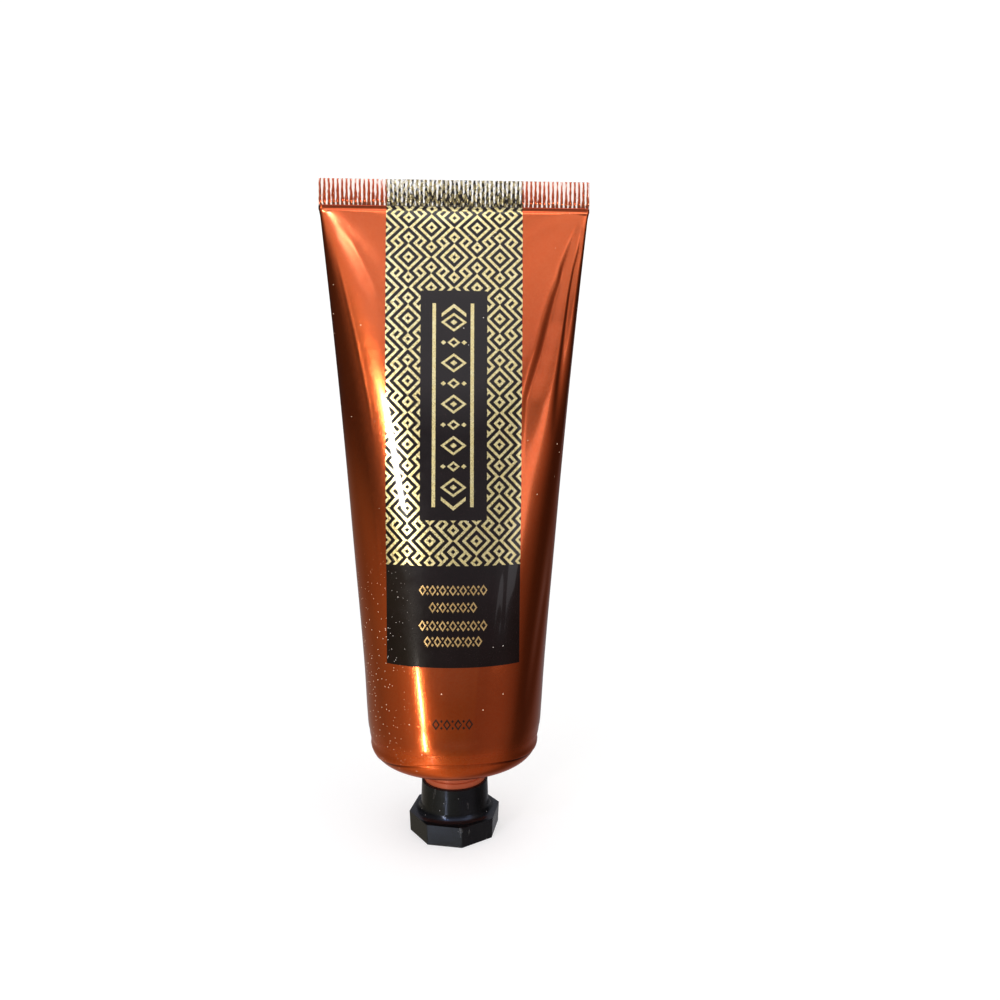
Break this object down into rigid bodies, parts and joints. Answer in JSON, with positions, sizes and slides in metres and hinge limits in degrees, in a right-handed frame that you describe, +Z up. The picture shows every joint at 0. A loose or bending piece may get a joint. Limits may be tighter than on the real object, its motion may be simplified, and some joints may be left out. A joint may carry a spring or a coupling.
{
  "type": "shaving cream tube",
  "caption": "Flattened laminate cream tube with a ribbed crimped end, metallic printed sleeve and rounded shoulder, standing on an octagonal black screw cap.",
  "frame": {"origin": "centre of the cap's end face, which the tube stands on", "axes": "+Z up the tube from the cap to the crimped end, +X along the flat crimp, -Y towards the printed front"},
  "size_m": [0.0628, 0.04, 0.1544],
  "materials": {
    "printed_laminate": "satin",
    "shoulder_plastic": "satin",
    "barrier_plastic": "matte",
    "seal_foil": "satin",
    "cream": "satin",
    "liner_foam": "matte",
    "cap_plastic": "gloss",
    "dark_print": "gloss",
    "gold_print": "gloss"
  },
  "bodies": {
    "tube": {"tube_sleeve": "printed_laminate", "shoulder_head": "shoulder_plastic", "barrier_insert": "barrier_plastic", "orifice_seal": "seal_foil", "shaving_cream": "cream"},
    "liner": {"cap_liner": "liner_foam"},
    "cap": {"screw_cap": "cap_plastic"}
  },
  "joints": [
    {"name": "cap_travel", "type": "slide", "parent": "tube", "child": "liner", "axis": [0, 0, -1], "range_m": [0, 0.0101]},
    {"name": "cap_turn", "type": "hinge", "parent": "liner", "child": "cap", "pos_m": [0, 0, 0.0062], "axis": [0, 0, -1], "range_deg": [0, 1440]}
  ],
  "couplings": [
    {"joint": "cap_travel", "follows": "cap_turn", "m_per_rad": 0.00039789}
  ]
}
